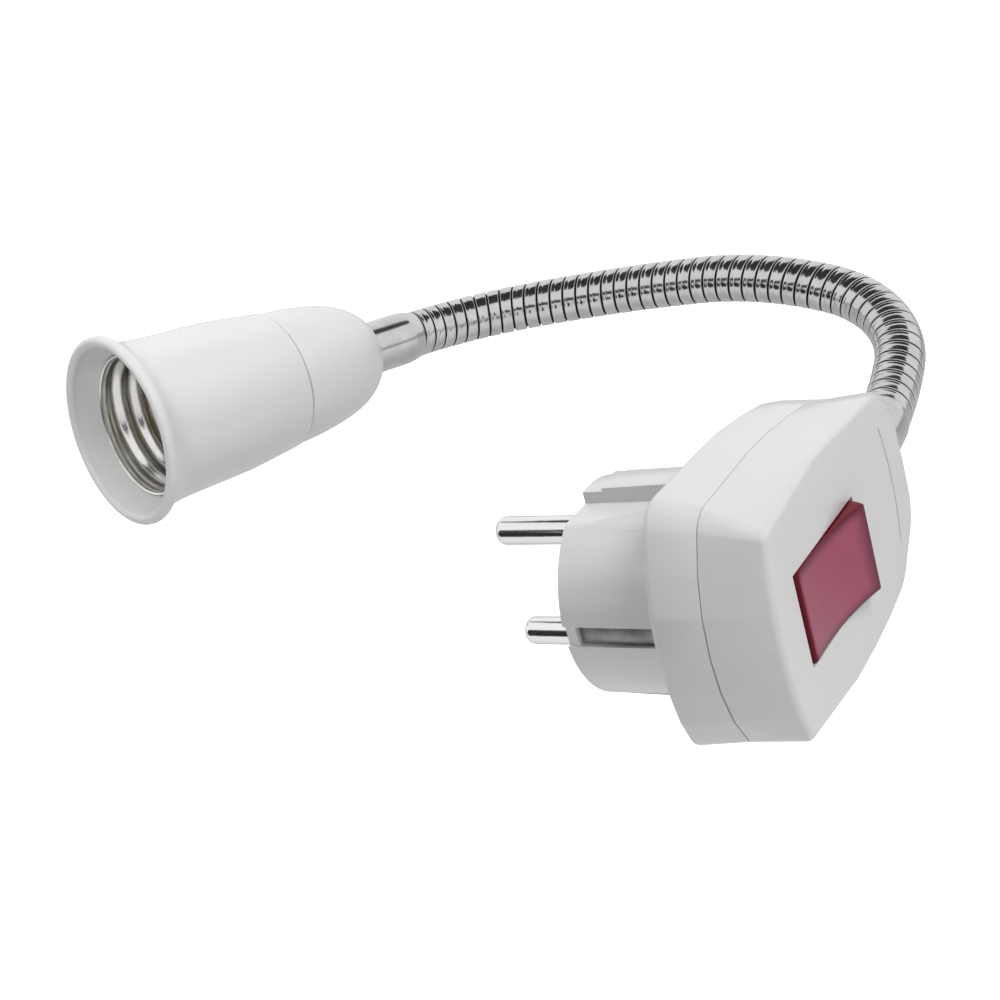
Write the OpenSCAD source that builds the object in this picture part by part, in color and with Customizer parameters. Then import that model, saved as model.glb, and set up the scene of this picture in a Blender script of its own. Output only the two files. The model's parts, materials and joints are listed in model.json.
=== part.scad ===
// Plug-in lamp holder: two-pin mains plug with a rocker switch, a bendable metal
// neck and a screw lamp holder on its end.
// Frame: origin in the middle of the plug's face, +Y the way the pins point,
// +X towards the neck's exit, +Z up along the line of the pins.

/* [Pins] */
// Diameter of each contact pin
pin_d = 4.8; // [4:0.1:6]
// How far the pins stand out of the plug's face
pin_length = 19; // [14:0.5:24]
// Distance between the pins' axes
pin_spacing = 19; // [16:0.5:21]
// Height of the rounding on a pin's tip
pin_tip = 1.2; // [0.6:0.1:2]
// Diameter of the pin's root, where it passes through the face
pin_root_d = 5.6; // [5.2:0.1:6]
// Diameter of the pin's clamp end, behind the flange
pin_clamp_d = 4.4; // [3.6:0.1:4.7]
// Length of that clamp end
pin_clamp_l = 8; // [7:0.5:9]
// Diameter of the flange that holds a pin behind the face
pin_flange_d = 7; // [6.5:0.1:8]
// Thickness of that flange
pin_flange_h = 1.6; // [1:0.1:2.5]

/* [Plug nose] */
// Diameter of the round nose that enters the wall socket
nose_d = 36; // [34:0.5:39]
// Length of the nose, face to housing
nose_length = 18.5; // [16:0.5:24]
// Wall of the nose
nose_wall = 4; // [3.6:0.1:4.6]
// Thickness of the nose's face
face_t = 3; // [2:0.5:4]
// Distance of the two keying flats from the middle
flat_offset = 15.3; // [15:0.1:16.8]
// Where the flats end in a ledge, measured towards the neck
ledge_x = -2.2; // [-4:0.2:4]
// Length of the slimmer first part of the nose, from the face
lead_in_l = 3.6; // [2:0.2:6]
// Depth of that part below the round nose
lead_in = 0.6; // [0.3:0.1:0.7]

/* [Earth contacts] */
// Width of the earth contact strip
strap_w = 3; // [2:0.5:5]
// Thickness of the strip
strap_t = 0.8; // [0.5:0.1:1]
// Depth of the strip's outer face below the round nose
strap_inset = 0.8; // [0.5:0.1:1]
// Length of the plastic ramp in front of the strip
ramp_l = 2.2; // [1.5:0.1:4]
// Gap beside the strip in its slot
strap_gap = 0.2; // [0.1:0.05:0.4]

/* [Housing] */
// Half the housing's width, along the pins' line
case_half_w = 20.7; // [20:0.1:24]
// Reach of the wide end from the nose's axis
case_back = 23.4; // [22.6:0.2:26]
// Reach of the neck end from the nose's axis
case_front = 40.4; // [39:0.2:46]
// Radius of the gently curved wide end
end_r = 33.7; // [30:0.5:40]
// Radius of the wide end's corners
corner_r = 5.4; // [5.2:0.2:7]
// Radius of the gently curved sides
side_r = 80; // [75:1:110]
// Widest place of the housing, measured towards the neck
belly_x = 3; // [0:0.5:6]
// Radius of the rounded neck end
neck_end_r = 13; // [12:0.2:14]
// Half the width of the short straight run in the neck end
neck_end_half = 2.6; // [1.5:0.1:3.4]
// Slope of the sides: how much the cover narrows up to its face
side_slope = 0.7; // [0.3:0.1:1.2]
// Slope of the wide end of the cover
end_slope = 2.6; // [1.5:0.1:2.8]
// Slope of the wide end of the rear shell, which widens to the back
rear_flare = 0.6; // [0:0.1:1]
// Depth of the rear shell, from the nose's root to the parting line
rear_h = 8.8; // [7.5:0.1:11]
// Depth of the front cover, from the parting line to its face
front_h = 10.5; // [10:0.1:13]
// Wall of both shells
wall = 2; // [1.6:0.1:2.4]
// Rounding along the cover's front edge
front_edge_r = 1.5; // [1:0.1:2]
// Rounding of that edge at the neck end
neck_edge_r = 4.5; // [3:0.1:5]
// Rounding along the rear shell's edge
rear_edge_r = 1.4; // [0.8:0.1:2]
// Gap between the two shells at the parting line
parting_gap = 0.15; // [0.05:0.05:0.3]

/* [Rocker] */
// Length of the rocker, towards the neck
rocker_l = 24.8; // [22:0.2:27]
// Width of the rocker
rocker_w = 15.1; // [13:0.1:17]
// Gap round the rocker in its window
rocker_gap = 0.25; // [0.2:0.05:0.4]
// Middle of the rocker, from the nose's axis
rocker_x = 0.7; // [-1:0.1:2]
// Depth of the rocker's pivot below the cover's face
pivot_depth = 4; // [3.8:0.1:5]
// Height of the rocker's ends above the cover, when level
rocker_proud = 1.6; // [1:0.1:2]
// Depth of the hollow between the rocker's ends
rocker_dish = 1.05; // [0.8:0.05:1.6]
// Tilt of the rocker either side of level
rocker_tilt = 6; // [4:0.5:8]
// Wall of the hollow rocker
rocker_wall = 1.4; // [1:0.1:1.8]
// Depth of the rocker's sides below its pivot
rocker_skirt = 3.2; // [2.6:0.1:3.6]
// Diameter of the rocker's two pivot pins
trunnion_d = 2.2; // [1.8:0.1:2.6]
// Radial running fit of the pivot pins
trunnion_fit = 0.05; // [0.03:0.01:0.1]

/* [Neck] */
// Outer diameter of the bendable neck
neck_d = 9.3; // [8.6:0.1:9.5]
// Length of one turn along the neck
turn_pitch = 2.85; // [2.7:0.05:3]
// Width of the crest of one turn
turn_w = 2.05; // [1.9:0.05:2.1]
// Depth of the groove between two turns
turn_depth = 0.5; // [0.4:0.05:0.6]
// How far the neck may bend at each of its four stations, either way
bend_limit = 20; // [10:1:20]
// Gap between the ball and the socket at a bending station
ball_gap = 0.3; // [0.2:0.05:0.4]
// Outer diameter of the smooth ferrules at both ends of the neck
ferrule_d = 10.5; // [10.2:0.1:11]
// Length of the plug's ferrule outside the housing
plug_ferrule_l = 4; // [3.4:0.2:12]
// Length of the lamp holder's ferrule outside its cap
holder_ferrule_l = 12.5; // [9:0.5:16]
// Length of a ferrule inside the housing or the cap
ferrule_seat = 8; // [7:0.5:10]

/* [Lamp holder] */
// Bore of the screw shell, across its thread's crests
thread_d = 26.2; // [26:0.1:26.4]
// Bore of the screw shell's narrow base
base_d = 24.4; // [23.6:0.1:24.8]
// Length of that base
base_l = 6.5; // [6:0.5:8]
// Sheet of the screw shell
shell_t = 0.35; // [0.3:0.05:0.5]
// Gap round the screw shell in the holder's body
shell_gap = 0.15; // [0.1:0.05:0.2]
// Wall of the holder's body beside the screw shell
body_wall = 1.5; // [1.3:0.1:2]
// Radius of the flared rim
rim_r = 18; // [17.5:0.1:20]
// Height of the rim's edge
rim_h = 1.5; // [1:0.1:2.5]
// Length of the body, rim to seam
body_l = 35.2; // [32:0.1:40]
// Radius of the body at the seam
seam_r = 13.5; // [13.2:0.1:14]
// Width of the seam between body and cap
seam_gap = 0.3; // [0.2:0.05:0.5]
// Distance of the screw shell's base from the seam
shoulder_l = 7.9; // [7:0.1:9]
// Length of the cap, seam to neck
cap_l = 22.4; // [20:0.2:26]
// Wall of the cap
cap_wall = 1.4; // [1.2:0.1:1.8]
// Radius of the flat end of the cap
cap_end_r = 6.8; // [6.6:0.1:8]

/* [Screws and leads] */
// Diameter of the housing screws
screw_d = 2.4; // [2:0.1:2.8]
// Diameter of their heads
screw_head_d = 4.6; // [4:0.1:5]
// Diameter of the insulated leads
lead_d = 1.8; // [1.4:0.1:2.2]

/* [Hidden] */
$fn = 64;
cut = 0.5;

// Turns in each section of the neck, how far each section bends over its length,
// and the direction in which it leans
section_turns = [10, 10, 10, 13, 9];
section_bend = [20.6, 72.6, 17.8, 20.8, 49.1];
section_lean = [70.7, 12.1, -35, 35.1, 38.5];

// Housing levels, measured from the plug's face towards the front
parting_z = nose_length + rear_h;
face_z = parting_z + front_h;
pivot_z = face_z - pivot_depth;
nose_r = nose_d / 2;
groove_end = 2;
pin_clamp_hole = 3.6;
carrier_h = 3;

// Outline circles of the housing, each as [x, y, radius]
end_angle = 32;
side_disc_r = 9.5;
side_angle = 16.5;
end_discs = [for (a = [-1:1/3:1.01]) [end_r - case_back - (end_r - corner_r) * cos(a * end_angle),
                                      (end_r - corner_r) * sin(a * end_angle), corner_r]];
side_discs = [for (side = [-1, 1]) for (a = [0:1/3:1.01])
    [belly_x + (side_r - side_disc_r) * sin(a * side_angle),
     side * (case_half_w - side_r + (side_r - side_disc_r) * cos(a * side_angle)), side_disc_r]];
neck_discs = [for (side = [-1, 1]) [case_front - neck_end_r, side * neck_end_half, neck_end_r]];

// Rocker, taken from its window
window_l = rocker_l + 2 * rocker_gap;
window_w = rocker_w + 2 * rocker_gap;
rocker_r = norm([rocker_l / 2, pivot_depth - wall]);
dish_chord = 2 * sqrt(pow(rocker_r, 2) - pow(pivot_depth + rocker_proud, 2));
dish_r = (pow(dish_chord / 2, 2) + pow(rocker_dish, 2)) / (2 * rocker_dish);
switch_wall = 1.3;
switch_gap = 0.3;
switch_floor_z = nose_length + wall + 2.2;
switch_top_z = face_z - wall - 0.2;
switch_half_w = rocker_w / 2 + switch_gap + switch_wall;
switch_half_l = window_l / 2 + 0.3 + switch_wall;
post_l = 4;
post_r = 1.8;
contact_t = 0.4;

// Housing screws, as places in the plug's own plane
screw_end_in = 10.5;
screw_side_in = 7.4;
screw_neck_in = 12;
screw_neck_y = neck_end_half + neck_end_r - 4.9;
screw_spots = [for (side = [-1, 1]) for (spot = [[screw_end_in - case_back, case_half_w - screw_side_in],
                                                 [case_front - screw_neck_in, screw_neck_y]])
               [spot[0], side * spot[1]]];
boss_r = screw_d / 2 + 1.5;
head_pocket = 2.6;
head_h = 1.6;
screw_hold = 6;

// Neck
ball_inset = 0.4;
ball_r = neck_d / 2 - ball_inset;
socket_r = ball_r + ball_gap;
socket_reach = neck_d / 2 * sin(bend_limit) + 0.36;
core_r = neck_d / 2 - turn_depth;
turn_bevel = 0.4;
core_overlap = 0.5;
lead_bore_r = 2.6;
neck_x = case_front + plug_ferrule_l;
ferrule_r = ferrule_d / 2;
ferrule_fit = 0.1;
clip_t = 1.2;
clip_groove = 0.7;

// Lamp holder
cap_floor = 2.6;
nut_h = 3;
shell_r = thread_d / 2 + shell_t;
body_bore_r = shell_r + shell_gap;
body_r = body_bore_r + body_wall;
rim_w = 2.1;
mouth_r = rim_r - rim_w;
funnel_l = 5.2;
flare_l = 2.8;
holder_l = body_l + cap_l;
seat_z = cap_l + shoulder_l;
thread_l = body_l - funnel_l - shoulder_l;
shell_z = seat_z + 0.2;
shell_hole_r = 8;
body_neck_l = 4;
cap_lip = 0.25;
cap_round_z = 9;
cap_side_r = seam_r - cap_lip - 1;
cap_round_r = norm([cap_end_r, cap_round_z]);
block_r = seam_r - cap_wall - 0.5;
block_l = 9;
block_boss_r = 7.5;
block_boss_h = 0.55;
wire_spread = 7;
terminal_d = 3.2;
terminal_z = seat_z - block_l + 4;
contact_l = 12;
contact_w = 4;
contact_sheet = 0.5;

// Neck frames: one matrix per turn, each taken on from the one before
function slide(d) = [[1, 0, 0, 0], [0, 1, 0, 0], [0, 0, 1, d], [0, 0, 0, 1]];
function spin_z(a) = [[cos(a), -sin(a), 0, 0], [sin(a), cos(a), 0, 0], [0, 0, 1, 0], [0, 0, 0, 1]];
function tip_y(a) = [[cos(a), 0, sin(a), 0], [0, 1, 0, 0], [-sin(a), 0, cos(a), 0], [0, 0, 0, 1]];
function turn_step(s) = slide(turn_pitch / 2) * spin_z(section_lean[s])
    * tip_y(section_bend[s] / section_turns[s]) * spin_z(-section_lean[s]) * slide(turn_pitch / 2);
function half_step(s) = slide(turn_pitch / 2) * spin_z(section_lean[s])
    * tip_y(section_bend[s] / section_turns[s] / 2) * spin_z(-section_lean[s]);
neck_start = [[0, 0, 1, neck_x], [1, 0, 0, -parting_z], [0, 1, 0, 0], [0, 0, 0, 1]];
section_of = [for (s = [0:len(section_turns) - 1]) for (i = [1:section_turns[s]]) s];
turn_frames = [for (i = 0, m = neck_start; i <= len(section_of);
                    m = i < len(section_of) ? m * turn_step(section_of[i]) : m, i = i + 1) m];
function turns_before(s) = s == 0 ? 0 : turns_before(s - 1) + section_turns[s - 1];
holder_frame = turn_frames[len(section_of)] * slide(holder_ferrule_l);

// Puts the plug's own plane (x to the neck, y up, z to the front) into the part's frame
module plug_place() {
    rotate([90, 0, 0]) children();
}

module holder_place() {
    multmatrix(holder_frame) children();
}

// One half of the housing as discs: far > 0 is the front half, far < 0 the rear half
module case_discs(inset, from_z, to_z, far) {
    edge = far > 0 ? front_edge_r : -rear_edge_r;
    slope = far > 0 ? side_slope : 0;
    for (d = end_discs) edge_disc(d, inset, from_z, to_z, edge, far > 0 ? end_slope : -rear_flare);
    for (d = side_discs) edge_disc(d, inset, from_z, to_z, edge, slope);
    for (d = neck_discs) edge_disc(d, inset, from_z, to_z, far > 0 ? neck_edge_r : edge, slope);
}

// A disc whose far edge is rounded and drawn in by its slope
module edge_disc(disc, inset, from_z, to_z, edge, slope) {
    r = disc[2] - inset;
    e = min(max(abs(edge) - inset / 2, 0.5), r - slope - 0.05);
    f = r - slope - e;
    profile = edge > 0
        ? concat([[0, from_z], [r, from_z]],
                 [for (a = [0:15:90]) [f + e * cos(a), to_z - e + e * sin(a)]], [[0, to_z]])
        : concat([[0, from_z]], [for (a = [-90:15:0]) [f + e * cos(a), from_z + e + e * sin(a)]],
                 [[r, to_z], [0, to_z]]);
    translate([disc[0], disc[1], 0]) rotate_extrude($fn = 60) polygon(profile);
}

module neck_opening(r) {
    translate([case_front - wall - 4, 0, parting_z]) rotate([0, 90, 0]) cylinder(r = r, h = 8 + wall);
}

// Nose, its keying flats and the grooves for the earth strip
module nose_form() {
    difference() {
        union() {
            cylinder(r = nose_r - lead_in, h = nose_length, $fn = 128);
            translate([0, 0, lead_in_l]) cylinder(r = nose_r, h = nose_length + cut - lead_in_l, $fn = 128);
        }
        for (side = [-1, 1]) {
            translate([-nose_r - 1, side > 0 ? flat_offset : -nose_r - 1, -cut])
                cube([nose_r + 1 + ledge_x, nose_r + 1 - flat_offset, nose_length + cut]);
            rotate([0, 0, side > 0 ? 0 : 180]) earth_groove();
        }
    }
}

module earth_groove() {
    half = strap_w / 2 + strap_gap;
    floor_r = nose_r - strap_inset - strap_t;
    translate([floor_r, -half, ramp_l]) cube([nose_r, 2 * half, nose_length - groove_end - ramp_l]);
    translate([0, half, 0]) rotate([90, 0, 0]) linear_extrude(2 * half)
        polygon([[nose_r - strap_inset * 2, -cut], [nose_r + 1, -cut], [nose_r + 1, ramp_l + 0.1],
                 [nose_r - lead_in - 0.1, ramp_l + 0.1]]);
}

// Slot through which the earth strip passes from the groove into the housing
module strap_slot() {
    half = strap_w / 2 + strap_gap;
    translate([nose_r - strap_inset - strap_t - strap_gap, -half, nose_length - groove_end - cut])
        cube([strap_t + strap_gap * 2, 2 * half, wall + 3 + cut]);
}

module boss(spot, from_z, to_z) {
    translate([spot[0], spot[1], from_z]) cylinder(r = boss_r, h = to_z - from_z, $fn = 32);
}

module rear_shell() {
    color("whitesmoke") plug_place() difference() {
        union() {
            difference() {
                union() {
                    hull() case_discs(0, nose_length, parting_z - parting_gap / 2, -1);
                    nose_form();
                }
                hull() case_discs(wall, nose_length + wall, parting_z + 1, -1);
            }
            for (s = screw_spots) boss(s, nose_length + wall - cut, parting_z - parting_gap / 2);
        }
        translate([0, 0, face_t]) cylinder(r = nose_r - nose_wall, h = nose_length + wall);
        for (side = [-1, 1]) {
            translate([0, side * pin_spacing / 2, -cut]) cylinder(d = pin_root_d + 0.1, h = face_t + 1);
            rotate([0, 0, side > 0 ? 0 : 180]) strap_slot();
        }
        for (s = screw_spots) translate([s[0], s[1], nose_length - cut]) {
            cylinder(d = screw_d + 0.3, h = rear_h + 1, $fn = 32);
            cylinder(d = screw_head_d + 0.4, h = head_pocket + cut, $fn = 32);
        }
        neck_opening(ferrule_r + ferrule_fit);
    }
}

module front_cover() {
    color("white") plug_place() difference() {
        union() {
            difference() {
                hull() case_discs(0, parting_z + parting_gap / 2, face_z, 1);
                hull() case_discs(wall, parting_z - 1, face_z - wall, 1);
            }
            for (s = screw_spots) boss(s, parting_z + parting_gap / 2, face_z - wall + cut);
        }
        translate([rocker_x - window_l / 2, -window_w / 2, face_z - wall - 1])
            cube([window_l, window_w, wall + 2]);
        for (s = screw_spots) translate([s[0], s[1], parting_z - cut])
            cylinder(d = screw_d, h = screw_hold + cut, $fn = 32);
        neck_opening(ferrule_r + ferrule_fit);
    }
}

// Contact pin: rounded tip, round shank, thicker root in the face, flange, clamp end
module contact_pin(y) {
    r = pin_d / 2;
    flange_z = face_t + 0.1;
    clamp_z = flange_z + pin_flange_h;
    tip = [for (a = [0:18:90]) [r - pin_tip + pin_tip * cos(a), -pin_length + pin_tip - pin_tip * sin(a)]];
    profile = concat([[0, clamp_z + pin_clamp_l], [pin_clamp_d / 2, clamp_z + pin_clamp_l],
                      [pin_clamp_d / 2, clamp_z], [pin_flange_d / 2, clamp_z], [pin_flange_d / 2, flange_z],
                      [pin_root_d / 2, flange_z], [pin_root_d / 2, 0], [r, 0]],
                     tip, [[0, -pin_length]]);
    color("lightgray") plug_place() translate([0, y, 0]) difference() {
        rotate_extrude() polygon(profile);
        translate([0, 0, clamp_z + pin_clamp_l - pin_clamp_hole])
            cylinder(d = lead_d + 0.4, h = 5, $fn = 32);
    }
}

module pin_upper() {
    contact_pin(pin_spacing / 2);
}

module pin_lower() {
    contact_pin(-pin_spacing / 2);
}

// Moulded disc that clamps both pins behind the face
module pin_carrier() {
    carrier_z = face_t + 0.2 + pin_flange_h;
    color("gainsboro") plug_place() difference() {
        translate([0, 0, carrier_z]) cylinder(r = nose_r - nose_wall - 0.3, h = carrier_h);
        for (side = [-1, 1]) translate([0, side * pin_spacing / 2, carrier_z - cut])
            cylinder(d = pin_clamp_d + 0.2, h = carrier_h + 1);
        for (side = [-1, 1]) translate([side * pin_spacing / 2, 0, carrier_z - cut])
            cylinder(d = 3, h = carrier_h + 1, $fn = 32);
    }
}

// One bent strip: a contact in each groove and the bridge between them inside
module earth_strap() {
    outer = nose_r - strap_inset;
    bridge_z = nose_length + wall + 0.6;
    color("dimgray") plug_place() difference() {
        union() {
            for (side = [-1, 1])
                translate([side > 0 ? outer - strap_t : -outer, -strap_w / 2, ramp_l + 0.2])
                    cube([strap_t, strap_w, bridge_z + strap_t - ramp_l - 0.2]);
            translate([-outer, -strap_w / 2, bridge_z]) cube([2 * outer, strap_w, strap_t]);
            translate([0, 0, bridge_z]) cylinder(r = strap_w, h = strap_t, $fn = 32);
        }
        translate([0, 0, bridge_z - cut]) cylinder(d = screw_d, h = strap_t + 1, $fn = 32);
    }
}

// Open box under the cover that carries the rocker's pivot pins
module switch_body() {
    height = switch_top_z - switch_floor_z;
    color("ivory") plug_place() translate([rocker_x, 0, 0]) difference() {
        translate([-switch_half_l, -switch_half_w, switch_floor_z])
            cube([2 * switch_half_l, 2 * switch_half_w, height]);
        translate([-switch_half_l + switch_wall, -switch_half_w + switch_wall, switch_floor_z + 1.2])
            cube([2 * (switch_half_l - switch_wall), 2 * (switch_half_w - switch_wall), height]);
        translate([0, 0, pivot_z]) rotate([90, 0, 0])
            cylinder(r = trunnion_d / 2 + trunnion_fit, h = 3 * switch_half_w, center = true);
    }
}

// Two fixed contacts that stand on the floor of the switch
module switch_terminals() {
    color("goldenrod") plug_place() translate([rocker_x, 0, switch_floor_z + 1.2])
        for (side = [-1, 1]) translate([side * 7, 0, 0]) {
            translate([-0.4, -2, 0]) cube([0.8, 4, 2.4]);
            translate([side > 0 ? -2.4 : -0.4, -2, 0]) cube([2.8, 4, 0.6]);
        }
}

// Hollow translucent rocker with a dished top and ends that turn about the pivot
module rocker_form() {
    top = pivot_depth + rocker_proud;
    difference() {
        intersection() {
            translate([-rocker_r, -rocker_w / 2, -rocker_skirt])
                cube([2 * rocker_r, rocker_w, rocker_skirt + top]);
            rotate([90, 0, 0]) cylinder(r = rocker_r, h = 2 * rocker_w, center = true, $fn = 128);
        }
        translate([0, 0, top - rocker_dish + dish_r]) rotate([90, 0, 0])
            cylinder(r = dish_r, h = 2 * rocker_w, center = true, $fn = 256);
        translate([-rocker_l / 2 + rocker_wall, -rocker_w / 2 + rocker_wall, -rocker_skirt - 1])
            cube([rocker_l - 2 * rocker_wall, rocker_w - 2 * rocker_wall,
                  rocker_skirt + 1 + top - rocker_dish - rocker_wall]);
    }
    translate([0, 0, -post_l + 1]) cylinder(r = post_r, h = post_l + top - rocker_dish - 1.5, $fn = 32);
    for (side = [-1, 1]) translate([0, side * (rocker_w / 2 - 0.2), 0]) rotate([side * -90, 0, 0])
        cylinder(d = trunnion_d, h = switch_gap + switch_wall + 0.2, $fn = 48);
}

module rocker_place() {
    plug_place() translate([rocker_x, 0, pivot_z]) rotate([0, -rocker_tilt, 0]) children();
}

module rocker() {
    color("crimson") rocker_place() rocker_form();
}

// Sprung leaf under the rocker's post
module rocker_contact() {
    color("gold") rocker_place() translate([-7.5, -1.8, -post_l + 1 - contact_t])
        cube([15, 3.6, contact_t]);
}

module indicator_lamp() {
    color("orange") plug_place() translate([rocker_x, 5.2, switch_floor_z + 1.2 + 1.6]) {
        rotate([0, 90, 0]) cylinder(r = 1.6, h = 8, center = true, $fn = 32);
    }
}

module housing_screws() {
    color("gray") plug_place() for (s = screw_spots) translate([s[0], s[1], 0]) difference() {
        union() {
            translate([0, 0, nose_length + head_pocket - head_h])
                cylinder(d = screw_head_d, h = head_h, $fn = 32);
            translate([0, 0, nose_length + head_pocket - 0.1])
                cylinder(d = screw_d - 0.1, h = rear_h - head_pocket + screw_hold - 1, $fn = 32);
        }
        for (a = [0, 90]) rotate([0, 0, a]) translate([-0.4, -1.4, nose_length + head_pocket - head_h - 0.4])
            cube([0.8, 2.8, 1]);
    }
}

// Smooth ferrule, drawn from its seat (z = 0) to the first turn of the neck
module ferrule(seat, outside) {
    r = ferrule_r;
    n = neck_d / 2 + 0.1;
    rotate_extrude() polygon([[lead_bore_r, 0], [r, 0], [r, seat + outside - 2.4],
                              [n + 0.15, seat + outside - 1], [n, seat + outside],
                              [lead_bore_r, seat + outside]]);
}

module plug_ferrule() {
    color("silver") multmatrix(neck_start * slide(-ferrule_seat - plug_ferrule_l)) difference() {
        ferrule(ferrule_seat, plug_ferrule_l);
        translate([0, 0, 1.5]) difference() {
            cylinder(r = ferrule_d, h = clip_t + 0.1);
            translate([0, 0, -cut]) cylinder(r = ferrule_r - clip_groove, h = clip_t + 1);
        }
    }
}

// Spring plate in the ferrule's groove that keeps it from pulling out
module plug_ferrule_clip() {
    color("gray") multmatrix(neck_start * slide(-ferrule_seat - plug_ferrule_l + 1.55)) difference() {
        cylinder(r = ferrule_r + 2, h = clip_t);
        translate([0, 0, -cut]) cylinder(r = ferrule_r - clip_groove + 0.05, h = clip_t + 1);
        translate([0, -ferrule_r + clip_groove, -cut])
            cube([ferrule_d, ferrule_d - 2 * clip_groove, clip_t + 1]);
    }
}

// One crest of the wound strip
module neck_turn() {
    r = neck_d / 2;
    h = turn_w / 2;
    rotate_extrude($fn = 48) polygon([[0, -h], [r - turn_bevel, -h], [r, turn_bevel - h],
                                      [r, h - turn_bevel], [r - turn_bevel, h], [0, h]]);
}

// A run of turns with a ball at its start and a socket at its end, where it bends
module neck_section(s) {
    first = turns_before(s);
    last = first + section_turns[s];
    color("silver") difference() {
        union() {
            for (i = [first:last - 1]) {
                multmatrix(turn_frames[i] * half_step(s)) neck_turn();
                if (i > first) multmatrix(turn_frames[i] * slide(-turn_pitch / 2 - core_overlap))
                    cylinder(r = core_r, h = turn_pitch + 2 * core_overlap, $fn = 48);
            }
            multmatrix(turn_frames[first]) cylinder(r = core_r, h = turn_pitch / 2 + core_overlap, $fn = 48);
            multmatrix(turn_frames[last] * slide(-turn_pitch / 2 - core_overlap))
                cylinder(r = core_r, h = turn_pitch / 2 + core_overlap, $fn = 48);
            if (s > 0) multmatrix(turn_frames[first]) sphere(r = ball_r, $fn = 48);
        }
        if (s < len(section_turns) - 1) multmatrix(turn_frames[last]) {
            sphere(r = socket_r, $fn = 48);
            translate([0, 0, -socket_reach]) cylinder(r = neck_d, h = neck_d);
        }
    }
}

module neck_section_1() neck_section(0);
module neck_section_2() neck_section(1);
module neck_section_3() neck_section(2);
module neck_section_4() neck_section(3);
module neck_section_5() neck_section(4);

module holder_ferrule() {
    color("silver") holder_place() mirror([0, 0, 1]) translate([0, 0, -ferrule_seat])
        ferrule(ferrule_seat, holder_ferrule_l);
}

module holder_nut() {
    color("gray") holder_place() translate([0, 0, cap_floor + 0.1]) difference() {
        cylinder(r = ferrule_r + 1.8, h = nut_h, $fn = 6);
        translate([0, 0, -cut]) cylinder(r = ferrule_r + 0.05, h = nut_h + 1);
    }
}

// Cap: a cone from the seam that rounds over to the flat end round the ferrule
function cap_profile(inset) = concat(
    [for (i = [0:6]) let (a = -asin(cap_round_z / cap_round_r) * (1 - i / 6))
        [(cap_round_r - inset) * cos(a) + i / 6 * (cap_side_r - cap_round_r),
         cap_round_z + (cap_round_r - inset) * sin(a)]],
    [[seam_r - cap_lip - inset, cap_l - seam_gap / 2]]);

module holder_cap() {
    color("white") holder_place() difference() {
        rotate_extrude() polygon(concat([[0, 0]], cap_profile(0), [[0, cap_l - seam_gap / 2]]));
        difference() {
            rotate_extrude() polygon(concat([[0, cap_wall]], cap_profile(cap_wall), [[0, cap_l]]));
            cylinder(r = rim_r, h = cap_floor);
        }
        translate([0, 0, cap_l - cut]) cylinder(r = seam_r - cap_lip - cap_wall, h = 1);
        translate([0, 0, -cut]) cylinder(r = ferrule_r + ferrule_fit, h = cap_floor + 1);
    }
}

// Body: flared rim, funnel mouth, bore for the screw shell, taper to the seam
module holder_body() {
    top = holder_l;
    seam = cap_l + seam_gap / 2;
    rim_round = [for (a = [0:30:180]) [(rim_r + mouth_r) / 2 + rim_w / 2 * cos(a),
                                       top - rim_h / 2 + rim_h / 2 * sin(a)]];
    color("white") holder_place() rotate_extrude($fn = 128) polygon(concat(
        [[seam_r - body_wall, seam], [seam_r, seam], [body_r - 0.2, top - body_l * 0.72],
         [body_r + 0.25, top - body_l * 0.29], [body_r + 0.8, top - rim_h - flare_l],
         [body_r + 1.5, top - rim_h - flare_l / 2], [rim_r, top - rim_h]], rim_round,
        [[body_bore_r, top - funnel_l], [body_bore_r, seat_z], [seam_r - body_wall, seat_z - body_neck_l]]));
}

// Rolled shell for the lamp: threaded part, narrow base and floor
module screw_shell() {
    base_r = base_d / 2;
    color("silver") holder_place() translate([0, 0, shell_z]) rotate_extrude($fn = 128) polygon([
        [shell_hole_r, 0], [base_r + shell_t, 0], [base_r + shell_t, base_l], [shell_r, base_l],
        [shell_r, thread_l], [thread_d / 2, thread_l], [thread_d / 2, base_l + shell_t],
        [base_r, base_l + shell_t], [base_r, shell_t], [shell_hole_r, shell_t]]);
}

// Insulating block behind the screw shell; it carries the contacts and their screws
module contact_block() {
    color("ivory") holder_place() difference() {
        union() {
            translate([0, 0, seat_z - block_l]) cylinder(r = block_r, h = block_l);
            translate([0, 0, seat_z - cut]) cylinder(r = block_boss_r, h = block_boss_h + cut);
        }
        for (side = [-1, 1]) translate([side * wire_spread, 0, seat_z - block_l - cut]) {
            cylinder(d = terminal_d, h = 6, $fn = 32);
            translate([-side * 1, 0, terminal_z - seat_z + block_l + cut]) rotate([0, side * 90, 0])
                cylinder(d = terminal_d, h = block_r, $fn = 32);
        }
    }
}

// Sprung tongue that presses on the lamp's tip
module centre_contact() {
    from_z = seat_z + block_boss_h + 0.1;
    color("goldenrod") holder_place() translate([-contact_l / 2, -contact_w / 2, from_z]) {
        cube([contact_l, contact_w, contact_sheet]);
        translate([contact_l, contact_w, contact_sheet - 0.1]) rotate([90, 0, 180]) linear_extrude(contact_w)
            polygon([[0, 0], [0.6, 0], [7.4, 3.6], [4.4, 4.6], [4.2, 4.1], [6.4, 3.4]]);
    }
}

// Bent leaf that touches the lamp's cap inside the shell's base
module side_contact() {
    from_x = shell_hole_r + 0.2;
    reach = base_d / 2 - 0.4 - from_x;
    color("goldenrod") holder_place() translate([from_x, -2.5, shell_z + shell_t + 0.05]) {
        cube([reach, 5, contact_sheet]);
        translate([reach - 0.4, 0, 0]) cube([0.4, 5, base_l - 1.5]);
    }
}

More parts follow.
